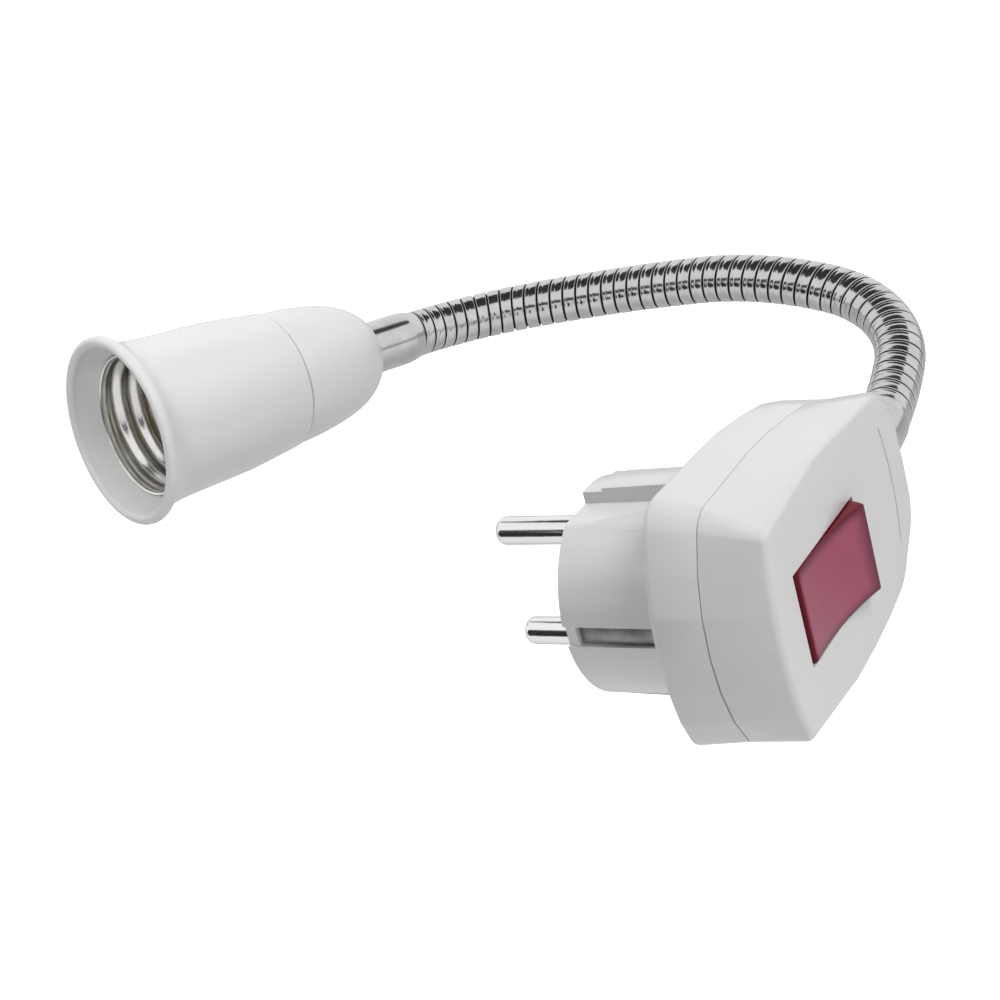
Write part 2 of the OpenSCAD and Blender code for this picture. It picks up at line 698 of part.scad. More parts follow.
module terminal_screws() {
    color("gray") holder_place() for (side = [-1, 1])
        translate([side * (wire_spread + 1.5), 0, terminal_z]) rotate([0, side * 90, 0])
            cylinder(d = terminal_d - 0.3, h = block_r - wire_spread - 2, $fn = 32);
}

// A lead: straight runs that overlap at their elbows
module lead(points) {
    for (i = [0:len(points) - 2]) {
        run = points[i + 1] - points[i];
        before = i > 0 ? lead_d / 4 : 0;
        after = i < len(points) - 2 ? lead_d / 4 : 0;
        translate(points[i]) rotate([0, acos(run[2] / norm(run)), atan2(run[1], run[0])])
            translate([0, 0, -before]) cylinder(d = lead_d, h = norm(run) + before + after, $fn = 12);
    }
}

module plug_lead(side) {
    spread = 1.2;
    z_run = nose_length + wall - 1.4;
    y_out = switch_half_w + 1.6;
    plug_place() lead([[0, side * pin_spacing / 2, face_t + pin_flange_h + 5],
                       [0, side * pin_spacing / 2, z_run - 2],
                       [3, side * y_out, z_run + 5], [switch_half_l + 2, side * y_out, z_run + 5.2],
                       [case_front - ferrule_seat - 3, side * spread, parting_z],
                       [neck_x - 3, side * spread, parting_z]]);
}

module lead_live() {
    color("brown") plug_lead(1);
}

module lead_neutral() {
    color("steelblue") plug_lead(-1);
}

module holder_leads() {
    color("brown") holder_place() for (side = [-1, 1])
        lead([[side * 1.2, 0, 3 - holder_ferrule_l], [side * 1.2, 0, ferrule_seat + 2],
              [side * wire_spread, 0, seat_z - block_l - 2], [side * wire_spread, 0, seat_z - block_l + 2]]);
}

rear_shell();
front_cover();
pin_upper();
pin_lower();
pin_carrier();
earth_strap();
switch_body();
switch_terminals();
rocker();
rocker_contact();
indicator_lamp();
housing_screws();
plug_ferrule();
plug_ferrule_clip();
neck_section_1();
neck_section_2();
neck_section_3();
neck_section_4();
neck_section_5();
holder_ferrule();
holder_nut();
holder_cap();
holder_body();
screw_shell();
contact_block();
centre_contact();
side_contact();
terminal_screws();
lead_live();
lead_neutral();
holder_leads();
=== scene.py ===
import json
from math import cos, floor, pi, radians, sin, sqrt

import bmesh
import bpy
from mathutils import Matrix, Vector


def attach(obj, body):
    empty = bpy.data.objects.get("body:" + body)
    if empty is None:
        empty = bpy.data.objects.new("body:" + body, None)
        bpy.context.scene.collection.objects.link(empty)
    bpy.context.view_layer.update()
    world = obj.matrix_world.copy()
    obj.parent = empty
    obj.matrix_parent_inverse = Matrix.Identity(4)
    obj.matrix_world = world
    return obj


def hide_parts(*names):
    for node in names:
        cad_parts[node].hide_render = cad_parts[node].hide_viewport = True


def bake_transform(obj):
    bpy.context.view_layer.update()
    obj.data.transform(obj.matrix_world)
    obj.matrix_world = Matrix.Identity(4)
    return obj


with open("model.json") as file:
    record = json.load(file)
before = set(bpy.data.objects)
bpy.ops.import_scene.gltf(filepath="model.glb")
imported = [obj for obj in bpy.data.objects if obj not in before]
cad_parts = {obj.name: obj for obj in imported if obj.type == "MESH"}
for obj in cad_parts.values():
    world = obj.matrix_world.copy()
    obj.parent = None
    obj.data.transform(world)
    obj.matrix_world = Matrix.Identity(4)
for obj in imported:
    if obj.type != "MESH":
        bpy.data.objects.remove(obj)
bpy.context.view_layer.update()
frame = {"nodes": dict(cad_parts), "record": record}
scene = bpy.context.scene
print("frame loaded")

# Camera, as it stood for the photograph
cameraSet = {"place": (-0.235898, -0.150897, 0.131542), "lens": 68.4, "sensor": 36.0,
             "right": (0.472042, -0.842158, -0.260667), "up": (0.454273, -0.021039, 0.890614)}


def makeCamera(s):
    data = bpy.data.cameras.new("photoCamera")
    data.lens, data.sensor_width, data.sensor_fit = s["lens"], s["sensor"], "AUTO"
    data.clip_start, data.clip_end = 0.01, 20
    right, up = Vector(s["right"]).normalized(), Vector(s["up"]).normalized()
    camera = bpy.data.objects.new("photoCamera", data)
    turn = Matrix((right, up, right.cross(up))).transposed().to_4x4()
    camera.matrix_world = Matrix.Translation(Vector(s["place"])) @ turn
    scene.collection.objects.link(camera)
    scene.camera = camera


makeCamera(cameraSet)

# Studio: white to the camera and in reflections, soft lamps, a pale floor that glows to reflections as a
# painted reflection with a painted shadow behind the object, dark cards only reflections see
studio = {"ambient": 0.26, "floorZ": -0.085, "floorSize": 24.0, "floorColour": 0.86, "floorShown": 0.8,
          "floorReflectedGlow": 0.62, "floorShadowedGlow": 0.32, "floorShadeInReflections": 0.35, "floorRough": 0.9,
          "towardsCamera": (-0.86, -0.51, 0), "shadowFadeLength": 0.1, "cardTone": 0.02, "spotBlend": 0.8,
          "lamps": [("keyLamp", (-0.02, -0.50, 0.58), (0.03, 0.03, 0.0), 0.45, 2.9),
                    ("topLamp", (0.05, 0.20, 0.80), (0.05, 0.05, 0.0), 0.5, 2.35),
                    ("sideLamp", (-0.65, 0.42, 0.26), (0.05, 0.05, 0.02), 0.4, 0.12)],
          "spots": [("mouthSpot", (-0.33, 0.02, 0.36), (0.004, 0.094, 0.028), 0.06, 15, 3.2)],
          "cards": [("horizonCard", (-0.85, 0.05, 0.26), (1.5, 0.25), 0.05),
                    ("pinCard", (-0.21, 0.14, -0.03), (0.24, 0.12), 0.0),
                    ("zenithCard", (0.20, -0.04, 1.04), (1.55, 1.05), 0.03)]}


def addLamp(name, lamp, place, aim):
    holder = bpy.data.objects.new(name, lamp)
    holder.location = place
    holder.rotation_euler = (Vector(aim) - Vector(place)).to_track_quat("-Z", "Y").to_euler()
    holder.visible_glossy = False
    scene.collection.objects.link(holder)


def makeWorld(s):
    world = bpy.data.worlds.new("studioWorld")
    scene.world = world
    world.use_nodes = True
    nodes, links = world.node_tree.nodes, world.node_tree.links
    nodes.clear()
    path = nodes.new("ShaderNodeLightPath")
    seen = path.outputs["Is Camera Ray"]
    for ray in ("Is Glossy Ray", "Is Transmission Ray"):
        either = nodes.new("ShaderNodeMath")
        either.operation = "MAXIMUM"
        links.new(seen, either.inputs[0])
        links.new(path.outputs[ray], either.inputs[1])
        seen = either.outputs[0]
    mix = nodes.new("ShaderNodeMixShader")
    links.new(seen, mix.inputs["Fac"])
    for socket, strength in ((1, s["ambient"]), (2, 1.0)):
        light = nodes.new("ShaderNodeBackground")
        light.inputs["Color"].default_value = (1, 1, 1, 1)
        light.inputs["Strength"].default_value = strength
        links.new(light.outputs[0], mix.inputs[socket])
    out = nodes.new("ShaderNodeOutputWorld")
    links.new(mix.outputs[0], out.inputs["Surface"])


def makeLamps(s):
    for name, place, aim, size, power in s["lamps"]:
        lamp = bpy.data.lights.new(name, "AREA")
        lamp.shape, lamp.size, lamp.energy = "DISK", size, power
        addLamp(name, lamp, place, aim)
    for name, place, aim, radius, cone, power in s["spots"]:
        spot = bpy.data.lights.new(name, "SPOT")
        spot.shadow_soft_size, spot.energy = radius, power
        spot.spot_size, spot.spot_blend = radians(cone), s["spotBlend"]
        addLamp(name, spot, place, aim)


# Each dark card faces the object with its long side along the picture
def makeCard(name, place, size, glow):
    bm = bmesh.new()
    bmesh.ops.create_grid(bm, x_segments=1, y_segments=1, size=0.5)
    bmesh.ops.scale(bm, vec=(size[0], size[1], 1), verts=bm.verts)
    mesh = bpy.data.meshes.new(name)
    facing = -Vector(place).normalized()
    across = facing.cross(Vector(cameraSet["right"])).normalized()
    turn = Matrix((across.cross(facing), across, facing)).transposed().to_4x4()
    bmesh.ops.transform(bm, matrix=Matrix.Translation(place) @ turn, verts=bm.verts)
    bm.to_mesh(mesh)
    bm.free()
    card = bpy.data.objects.new(name, mesh)
    scene.collection.objects.link(card)
    card.visible_camera = card.visible_diffuse = False
    card.visible_shadow = card.visible_transmission = False
    paint = bpy.data.materials.new(name)
    paint.use_nodes = True
    shader = paint.node_tree.nodes["Principled BSDF"]
    shader.inputs["Base Color"].default_value = (studio["cardTone"],) * 3 + (1,)
    shader.inputs["Roughness"].default_value = 1.0
    shader.inputs["Emission Color"].default_value = (1, 1, 1, 1)
    shader.inputs["Emission Strength"].default_value = glow
    mesh.materials.append(paint)


def makeFloor(s):
    bm = bmesh.new()
    bmesh.ops.create_grid(bm, x_segments=2, y_segments=2, size=s["floorSize"] / 2)
    bmesh.ops.translate(bm, verts=bm.verts, vec=(0, 0, s["floorZ"]))
    mesh = bpy.data.meshes.new("studioFloor")
    bm.to_mesh(mesh)
    bm.free()
    floorPiece = bpy.data.objects.new("studioFloor", mesh)
    scene.collection.objects.link(floorPiece)
    paint = bpy.data.materials.new("floorPaint")
    paint.use_nodes = True
    nodes, links = paint.node_tree.nodes, paint.node_tree.links
    shader = nodes["Principled BSDF"]
    shader.inputs["Roughness"].default_value = s["floorRough"]
    path = nodes.new("ShaderNodeLightPath")
    # Reflections see the floor in a darker tone than the lamps light it to: painted shade
    tone = nodes.new("ShaderNodeMix")
    tone.data_type = "RGBA"
    tone.inputs["A"].default_value = (s["floorColour"],) * 3 + (1,)
    tone.inputs["B"].default_value = (s["floorShadeInReflections"],) * 3 + (1,)
    links.new(path.outputs["Is Glossy Ray"], tone.inputs["Factor"])
    links.new(tone.outputs["Result"], shader.inputs["Base Color"])
    # Reflections see the floor glow, a painted reflection that fades to a painted shadow on the side away
    # from the camera, behind the object
    reflectedGlow = nodes.new("ShaderNodeMath")
    reflectedGlow.operation = "MULTIPLY"
    links.new(path.outputs["Is Glossy Ray"], reflectedGlow.inputs[0])
    coords = nodes.new("ShaderNodeTexCoord")
    towards = nodes.new("ShaderNodeVectorMath")
    towards.operation = "DOT_PRODUCT"
    links.new(coords.outputs["Object"], towards.inputs[0])
    towards.inputs[1].default_value = s["towardsCamera"]
    fade = nodes.new("ShaderNodeMapRange")
    fade.interpolation_type = "SMOOTHSTEP"
    fade.inputs["From Min"].default_value = -s["shadowFadeLength"]
    fade.inputs["From Max"].default_value = 0.0
    fade.inputs["To Min"].default_value = s["floorShadowedGlow"]
    fade.inputs["To Max"].default_value = s["floorReflectedGlow"]
    links.new(towards.outputs["Value"], fade.inputs["Value"])
    links.new(fade.outputs["Result"], reflectedGlow.inputs[1])
    shown = nodes.new("ShaderNodeMath")
    shown.operation = "MULTIPLY_ADD"
    links.new(path.outputs["Is Camera Ray"], shown.inputs[0])
    shown.inputs[1].default_value = s["floorShown"]
    links.new(reflectedGlow.outputs[0], shown.inputs[2])
    links.new(shown.outputs[0], shader.inputs["Emission Strength"])
    shader.inputs["Emission Color"].default_value = (1, 1, 1, 1)
    mesh.materials.append(paint)


scene.view_settings.view_transform = "Standard"
makeWorld(studio)
makeLamps(studio)
makeFloor(studio)
for card in studio["cards"]:
    makeCard(*card)
print("studio ready")


# Finishes: each has two close tones, a fine grain and a slight unevenness in its gloss
def makeFinish(name, tone, darkTone, rough, roughSpread, grain, bump, patch=60, metallic=0.0,
               coat=0.0, stretch=(1, 1, 1), coatRough=0.1):
    finish = bpy.data.materials.new(name)
    finish.use_nodes = True
    nodes, links = finish.node_tree.nodes, finish.node_tree.links
    shader = nodes["Principled BSDF"]
    shader.inputs["Metallic"].default_value = metallic
    shader.inputs["Coat Weight"].default_value = coat
    shader.inputs["Coat Roughness"].default_value = coatRough
    coords = nodes.new("ShaderNodeTexCoord")
    mapping = nodes.new("ShaderNodeMapping")
    mapping.inputs["Scale"].default_value = stretch
    links.new(coords.outputs["Object"], mapping.inputs["Vector"])
    patches = nodes.new("ShaderNodeTexNoise")
    patches.inputs["Scale"].default_value = patch
    patches.inputs["Detail"].default_value = 4
    links.new(mapping.outputs["Vector"], patches.inputs["Vector"])
    tones = nodes.new("ShaderNodeValToRGB")
    for stop, place, colour in zip(tones.color_ramp.elements, (0.35, 0.65), (darkTone, tone)):
        stop.position, stop.color = place, (*colour, 1)
    links.new(patches.outputs["Fac"], tones.inputs["Fac"])
    links.new(tones.outputs["Color"], shader.inputs["Base Color"])
    fine = nodes.new("ShaderNodeTexNoise")
    fine.inputs["Scale"].default_value = grain
    fine.inputs["Detail"].default_value = 3
    links.new(mapping.outputs["Vector"], fine.inputs["Vector"])
    gloss = nodes.new("ShaderNodeMapRange")
    gloss.inputs["To Min"].default_value = rough - roughSpread
    gloss.inputs["To Max"].default_value = rough + roughSpread
    links.new(fine.outputs["Fac"], gloss.inputs["Value"])
    links.new(gloss.outputs["Result"], shader.inputs["Roughness"])
    relief = nodes.new("ShaderNodeBump")
    relief.inputs["Strength"].default_value = bump
    relief.inputs["Distance"].default_value = 0.00005
    links.new(fine.outputs["Fac"], relief.inputs["Height"])
    links.new(relief.outputs["Normal"], shader.inputs["Normal"])
    return finish


finishes = {
    "white_plastic": makeFinish("whitePlastic", (0.78, 0.78, 0.775), (0.765, 0.765, 0.76), 0.3, 0.05,
                                1500, 0.12, coat=0.25),
    "nickel": makeFinish("nickelPlate", (0.86, 0.85, 0.84), (0.8, 0.79, 0.78), 0.14, 0.05, 2500, 0.15,
                         metallic=1.0, stretch=(1, 0.2, 1)),
    "grey_plastic": makeFinish("greyPlastic", (0.52, 0.52, 0.51), (0.48, 0.48, 0.47), 0.5, 0.06, 1800, 0.2),
    "tinned_strip": makeFinish("tinnedStrip", (0.33, 0.33, 0.33), (0.19, 0.19, 0.19), 0.38, 0.12,
                               1400, 0.5, patch=420, metallic=1.0),
    "ivory_plastic": makeFinish("ivoryPlastic", (0.68, 0.64, 0.52), (0.64, 0.6, 0.48), 0.45, 0.06,
                                1600, 0.2),
    "contact_brass": makeFinish("contactBrass", (0.72, 0.52, 0.22), (0.6, 0.42, 0.17), 0.25, 0.08,
                                1800, 0.3, metallic=1.0),
    "zinc_steel": makeFinish("zincSteel", (0.55, 0.55, 0.55), (0.42, 0.42, 0.43), 0.32, 0.08, 1600, 0.3,
                             metallic=1.0),
    "neck_chrome": makeFinish("neckChrome", (0.62, 0.62, 0.62), (0.55, 0.55, 0.55), 0.15, 0.04, 1800, 0.1,
                              patch=300, metallic=1.0),
    "shell_metal": makeFinish("shellMetal", (0.82, 0.81, 0.79), (0.7, 0.69, 0.67), 0.2, 0.06, 1500, 0.25,
                              patch=250, metallic=1.0),
    "block_ceramic": makeFinish("blockCeramic", (0.72, 0.7, 0.63), (0.66, 0.63, 0.56), 0.6, 0.08,
                                1800, 0.4),
    "lead_brown": makeFinish("leadBrown", (0.09, 0.035, 0.015), (0.07, 0.028, 0.012), 0.4, 0.06, 1500, 0.2),
    "lead_blue": makeFinish("leadBlue", (0.02, 0.07, 0.24), (0.015, 0.055, 0.2), 0.4, 0.06, 1500, 0.2),
    "groove_shade": makeFinish("grooveShade", (0.03, 0.03, 0.03), (0.015, 0.015, 0.015), 0.6, 0.1,
                               1500, 0.2),
    # red_plastic's base tone is lightened into a painted reflection for the rocker's dished top
    "red_plastic": makeFinish("redPlastic", (0.39, 0.075, 0.135), (0.36, 0.066, 0.12), 0.26, 0.04,
                              1400, 0.12, patch=140, coat=0.05, coatRough=0.15),
    "lamp_glass": makeFinish("lampGlass", (0.95, 0.55, 0.3), (0.9, 0.5, 0.25), 0.08, 0.02, 900, 0.05),
}
glassShader = finishes["lamp_glass"].node_tree.nodes["Principled BSDF"]
glassShader.inputs["Transmission Weight"].default_value = 0.85

# Painted light on the rocker: wall is its deep red away from the top's painted reflection, rim the painted
# shade of its long and far edges
rockerPaintedLight = {"sheen": 0.2, "level": -0.93, "upright": -0.55, "wall": (0.17, 0.002, 0.014),
              "edgeShadeFrom": 0.0056, "edgeShadeTo": 0.0076, "farShadeFrom": 0.0075, "farShadeTo": 0.0118,
              "rim": (0.13, 0.012, 0.045)}


# The rocker's red is painted with light: deep red on its walls, a lighter painted reflection on its dished
# top, and painted shade darkening its far and long edges
def paintRockerLight(s):
    nodes, links = finishes["red_plastic"].node_tree.nodes, finishes["red_plastic"].node_tree.links
    shader = nodes["Principled BSDF"]
    shader.inputs["Specular IOR Level"].default_value = s["sheen"]
    place = nodes.new("ShaderNodeSeparateXYZ")
    coords = next(n for n in nodes if n.type == "TEX_COORD")
    links.new(coords.outputs["Object"], place.inputs[0])
    facing = nodes.new("ShaderNodeSeparateXYZ")
    links.new(coords.outputs["Normal"], facing.inputs[0])
    side = nodes.new("ShaderNodeMath")
    side.operation = "ABSOLUTE"
    links.new(place.outputs["Z"], side.inputs[0])
    tone = shader.inputs["Base Color"].links[0].from_socket
    # Painted shade along the long edges and the far end, then the deep red of the walls against the top's
    # painted reflection
    for source, low, high, tint in ((side.outputs[0], s["edgeShadeFrom"], s["edgeShadeTo"], s["rim"]),
                                    (place.outputs["X"], s["farShadeFrom"], s["farShadeTo"], s["rim"]),
                                    (facing.outputs["Y"], s["level"], s["upright"], s["wall"])):
        share = nodes.new("ShaderNodeMapRange")
        share.interpolation_type = "SMOOTHSTEP"
        share.inputs["From Min"].default_value, share.inputs["From Max"].default_value = low, high
        links.new(source, share.inputs["Value"])
        shade = nodes.new("ShaderNodeMix")
        shade.data_type = "RGBA"
        links.new(share.outputs["Result"], shade.inputs["Factor"])
        links.new(tone, shade.inputs["A"])
        shade.inputs["B"].default_value = (*tint, 1)
        tone = shade.outputs["Result"]
    links.new(tone, shader.inputs["Base Color"])


paintRockerLight(rockerPaintedLight)

engraved = {"centreX": -0.00935, "centreZ": 0.0019, "radius": 0.0393, "halfWidth": 0.00022,
            "fromZ": -0.0085, "toZ": 0.0123, "faceY": -0.0375, "depth": 0.0002, "shade": 0.2,
            "shadeShare": 0.55}


# The cover's own finish: the white plastic with one fine engraved arc near the neck
def makeCoverFinish(s):
    finish = finishes["white_plastic"].copy()
    finish.name = "coverPlastic"
    nodes, links = finish.node_tree.nodes, finish.node_tree.links
    shader = nodes["Principled BSDF"]
    place = nodes.new("ShaderNodeSeparateXYZ")
    links.new(next(n for n in nodes if n.type == "TEX_COORD").outputs["Object"], place.inputs[0])

    def step(operation, first, second=None):
        node = nodes.new("ShaderNodeMath")
        node.operation = operation
        for socket, value in zip(node.inputs, (first, second)):
            if isinstance(value, (int, float)):
                socket.default_value = value
            elif value is not None:
                links.new(value, socket)
        return node.outputs[0]

    acrossX = step("SUBTRACT", place.outputs["X"], s["centreX"])
    acrossZ = step("SUBTRACT", place.outputs["Z"], s["centreZ"])
    squares = step("ADD", step("MULTIPLY", acrossX, acrossX), step("MULTIPLY", acrossZ, acrossZ))
    reach = step("SQRT", squares)
    away = step("ABSOLUTE", step("SUBTRACT", reach, s["radius"]))
    line = step("SUBTRACT", 1.0, step("DIVIDE", away, s["halfWidth"]))
    low = step("GREATER_THAN", place.outputs["Z"], s["fromZ"])
    high = step("LESS_THAN", place.outputs["Z"], s["toZ"])
    front = step("LESS_THAN", place.outputs["Y"], s["faceY"])
    near = step("GREATER_THAN", place.outputs["X"], 0.0)
    mask = step("MULTIPLY", step("MULTIPLY", low, high), step("MULTIPLY", front, near))
    cut = step("MULTIPLY", step("MAXIMUM", line, 0.0), mask)
    shade = nodes.new("ShaderNodeMix")
    shade.data_type = "RGBA"
    links.new(step("MULTIPLY", cut, s["shadeShare"]), shade.inputs["Factor"])
    tone = shader.inputs["Base Color"].links[0].from_socket
    links.new(tone, shade.inputs["A"])
    shade.inputs["B"].default_value = (s["shade"],) * 3 + (1,)
    links.new(shade.outputs["Result"], shader.inputs["Base Color"])
    relief = next(n for n in nodes if n.type == "BUMP")
    groove = nodes.new("ShaderNodeBump")
    groove.inputs["Distance"].default_value = s["depth"]
    groove.invert = True
    links.new(cut, groove.inputs["Height"])
    links.new(relief.outputs["Normal"], groove.inputs["Normal"])
    links.new(groove.outputs["Normal"], shader.inputs["Normal"])
    return finish


coverFinish = makeCoverFinish(engraved)
print("finishes ready")

slotOf = {s["node"]: s["material_slot"] for s in frame["record"]["subparts"]}
for nodeName, nodeObject in frame["nodes"].items():
    nodeObject.data.materials.clear()
    nodeObject.data.materials.append(finishes[slotOf[nodeName]])

# Places: the plug's own plane (x to the neck, y up, z to the front) and the chain of turns of the neck
plugPlace = Matrix(((1, 0, 0, 0), (0, 0, -1, 0), (0, 1, 0, 0), (0, 0, 0, 1)))
neckSet = {"start": 44.4, "depth": 27.3, "pitch": 2.85, "turns": (10, 10, 10, 13, 9),
           "bend": (20.6, 72.6, 17.8, 20.8, 49.1), "lean": (70.7, 12.1, -35.0, 35.1, 38.5),
           "radius": 4.65, "groove": 0.62, "shadedSink": 0.5, "around": 40, "holderFerrule": 12.5,
           "blendTurns": 2.5}


def turnPart(section, share):
    half = Matrix.Translation((0, 0, neckSet["pitch"] * share / 2))
    lean = Matrix.Rotation(radians(neckSet["lean"][section]), 4, "Z")
    bend = neckSet["bend"][section] / neckSet["turns"][section] * share
    return half @ lean @ Matrix.Rotation(radians(bend), 4, "Y") @ lean.inverted() @ half


sectionOf = [s for s, n in enumerate(neckSet["turns"]) for i in range(n)]
turnFrames = [Matrix(((0, 0, 1, neckSet["start"]), (1, 0, 0, -neckSet["depth"]),
                      (0, 1, 0, 0), (0, 0, 0, 1)))]
for section in sectionOf:
    turnFrames.append(turnFrames[-1] @ turnPart(section, 1))
lastTurn = len(sectionOf)


def frameAt(turn):
    if turn <= 0:
        return turnFrames[0] @ Matrix.Translation((0, 0, turn * neckSet["pitch"]))
    if turn >= lastTurn:
        return turnFrames[-1] @ Matrix.Translation((0, 0, (turn - lastTurn) * neckSet["pitch"]))
    whole = min(floor(turn), lastTurn - 1)
    return turnFrames[whole] @ turnPart(sectionOf[whole], turn - whole)


holderPlace = turnFrames[-1] @ Matrix.Translation((0, 0, neckSet["holderFerrule"]))


# Shared steps of modelling; shapes are drawn in millimetres and end in metres
def finishPiece(name, bm, slotName, body, sharp=35, nodes=()):
    mesh = bpy.data.meshes.new(name)
    bm.to_mesh(mesh)
    bm.free()
    mesh.polygons.foreach_set("use_smooth", [True] * len(mesh.polygons))
    mesh.set_sharp_from_angle(angle=radians(sharp))
    mesh.materials.append(finishes[slotName])
    piece = bpy.data.objects.new(name, mesh)
    scene.collection.objects.link(piece)
    if isinstance(body, str):
        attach(piece, body)
    if nodes:
        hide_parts(*nodes)
    return piece


def placeMesh(bm, place):
    bmesh.ops.remove_doubles(bm, verts=bm.verts, dist=0.002)
    bmesh.ops.recalc_face_normals(bm, faces=bm.faces)
    bmesh.ops.transform(bm, matrix=Matrix.Scale(0.001, 4) @ place, verts=bm.verts)


# A closed profile of (radius, height) points turned about the height axis
def turnProfile(profile, steps=96, closed=True):
    bm = bmesh.new()
    line = [bm.verts.new((r, 0, z)) for r, z in profile]
    pairs = list(zip(line, line[1:] + line[:1])) if closed else list(zip(line, line[1:]))
    edges = [bm.edges.new(pair) for pair in pairs]
    bmesh.ops.spin(bm, geom=line + edges, cent=(0, 0, 0), axis=(0, 0, 1), dvec=(0, 0, 0), angle=2 * pi,
                   steps=steps, use_merge=True, use_duplicate=False)
    return bm


def arcPoints(centreR, centreZ, radius, fromDeg, toDeg, count):
    steps = [radians(fromDeg + (toDeg - fromDeg) * i / count) for i in range(count + 1)]
    return [(centreR + radius * cos(a), centreZ + radius * sin(a)) for a in steps]


# A merged copy of a CAD node with its sharp edges eased
def easedCopy(name, node, slotName, body, ease, segments=3, angle=32, shape=None):
    bm = bmesh.new()
    bm.from_mesh(frame["nodes"][node].data)
    bmesh.ops.scale(bm, vec=(1000, 1000, 1000), verts=bm.verts)
    bmesh.ops.remove_doubles(bm, verts=bm.verts, dist=0.002)
    bmesh.ops.dissolve_limit(bm, angle_limit=radians(0.6), verts=bm.verts, edges=bm.edges)
    edges = [e for e in bm.edges if len(e.link_faces) == 2 and e.calc_face_angle(0) > radians(angle)]
    bmesh.ops.bevel(bm, geom=edges, offset=ease, segments=segments, profile=0.5, affect="EDGES",
                    clamp_overlap=True, material=-1)
    if shape:
        for v in bm.verts:
            v.co = shape(v.co)
    bmesh.ops.scale(bm, vec=(0.001, 0.001, 0.001), verts=bm.verts)
    return finishPiece(name, bm, slotName, body, nodes=[node])


# The housing's outline is drawn to the photo: each pair is the range over which a change comes in
shellSet = {"noseEnd": 18.2, "noseRadius": 17.95, "leadIn": 0.6, "leadInEnd": 4.3, "leadInFrom": 16.2,
            "flat": 15.2, "parting": 27.3, "halfWidth": 19.5, "drawSpan": 17, "drawOut": 2.6,
            "backOut": 1.7, "takeIn": 1.15, "backIn": 2.0, "backRaise": 0.75, "cornerPush": 1.8,
            "cornerFront": 2.7, "cornerLean": (0.6, 0.8), "slit": 0.16, "slitDepth": 0.3,
            "slitLeast": 0.2, "frontDepths": (27.3, 37.4), "backDepths": (27.3, 20.3),
            "lowerDepths": (20, 28), "backInDepths": (34, 20), "wideEnd": (0, -12), "middle": (-5, 4),
            "neckEnd": (16, 36), "cornerHeights": (5.6, 11.6), "slitHeights": (14, -6)}


def share(value, low, high):
    return min(1, max(0, (value - low) / (high - low)))


def noseShape(p):
    s = shellSet
    reach = sqrt(p.x ** 2 + p.z ** 2)
    if -p.y < s["leadInEnd"] and reach > s["leadInFrom"] and abs(p.z) < s["flat"]:
        grown = min(s["noseRadius"], reach + s["leadIn"]) / reach
        return Vector((p.x * grown, p.y, p.z * grown))
    return p.copy()


def shellShape(p):
    s = shellSet
    depth = -p.y
    if depth < s["noseEnd"]:
        return noseShape(p)
    q = p.copy()
    front, back = share(depth, *s["frontDepths"]), share(depth, *s["backDepths"])
    wide = share(p.x, *s["wideEnd"])
    spread = (p.z / s["drawSpan"]) ** 2
    outer = (p.z / s["halfWidth"]) ** 4
    q.x -= s["drawOut"] * spread * front * wide
    if p.z < 0:
        q.x -= s["backOut"] * spread * back * wide
        q.z += outer * (s["backIn"] * share(depth, *s["backInDepths"]) * wide
                        + s["takeIn"] * share(depth, *s["lowerDepths"]) * share(p.x, *s["middle"]))
    else:
        q.z += s["backRaise"] * back * outer
        corner = share(p.x, *s["neckEnd"]) * share(p.z, *s["cornerHeights"])
        push = corner * (s["cornerPush"] + s["cornerFront"] * front)
        q.x, q.z = q.x + s["cornerLean"][0] * push, q.z + s["cornerLean"][1] * push
    if 0 <= depth - s["parting"] < s["slitDepth"]:
        q.y -= s["slit"] * max(s["slitLeast"], share(p.z, *s["slitHeights"]))
    return q


# Plug: strip and screws keep their CAD form and the shells nearly so, all with eased edges
easedCopy("rearShellPiece", "rear_shell", "white_plastic", "plug", 0.35, shape=shellShape)
coverPiece = easedCopy("frontCoverPiece", "front_cover", "white_plastic", "plug", 0.2, shape=shellShape)
coverPiece.data.materials[0] = coverFinish
easedCopy("earthStrapPiece", "earth_strap", "tinned_strip", "plug", 0.12, segments=2)
easedCopy("housingScrewsPiece", "housing_screws", "zinc_steel", "plug", 0.1, segments=2)
print("housing ready")

# Contact pins
pinSet = {"radius": 2.4, "length": 19.0, "tip": 1.3, "spacing": 19.0, "root": 2.8, "rootEnd": 3.1,
          "collar": 3.5, "collarEnd": 4.7, "clamp": 2.2, "clampEnd": 12.7}


def makePin(name, node, side):
    s = pinSet
    tip = arcPoints(s["radius"] - s["tip"], s["length"] - s["tip"], s["tip"], 0, 90, 8)
    profile = [(0, -s["clampEnd"]), (s["clamp"], -s["clampEnd"]), (s["clamp"], -s["collarEnd"]),
               (s["collar"], -s["collarEnd"]), (s["collar"], -s["rootEnd"]), (s["root"], -s["rootEnd"]),
               (s["root"], -0.05), (s["root"] - 0.05, 0), (s["radius"], 0)]
    bm = turnProfile(profile + tip + [(0, s["length"])], steps=48, closed=False)
    turn = Matrix.Rotation(-pi / 2, 4, "X")
    placeMesh(bm, Matrix.Translation((0, 0, side * s["spacing"] / 2)) @ turn)
    return finishPiece(name, bm, "nickel", "plug", nodes=[node])


makePin("upperPin", "pin_upper", 1)
makePin("lowerPin", "pin_lower", -1)
print("pins ready")

# Rocker: dished block with soft edges, drawn level about its pivot and then tipped
rockerSet = {"length": 24.8, "width": 15.1, "top": 5.6, "dish": 1.05, "skirt": 3.2, "endRadius": 12.56,
             "x": 0.7, "depth": 33.8, "tilt": -6.0, "edge": 0.6}


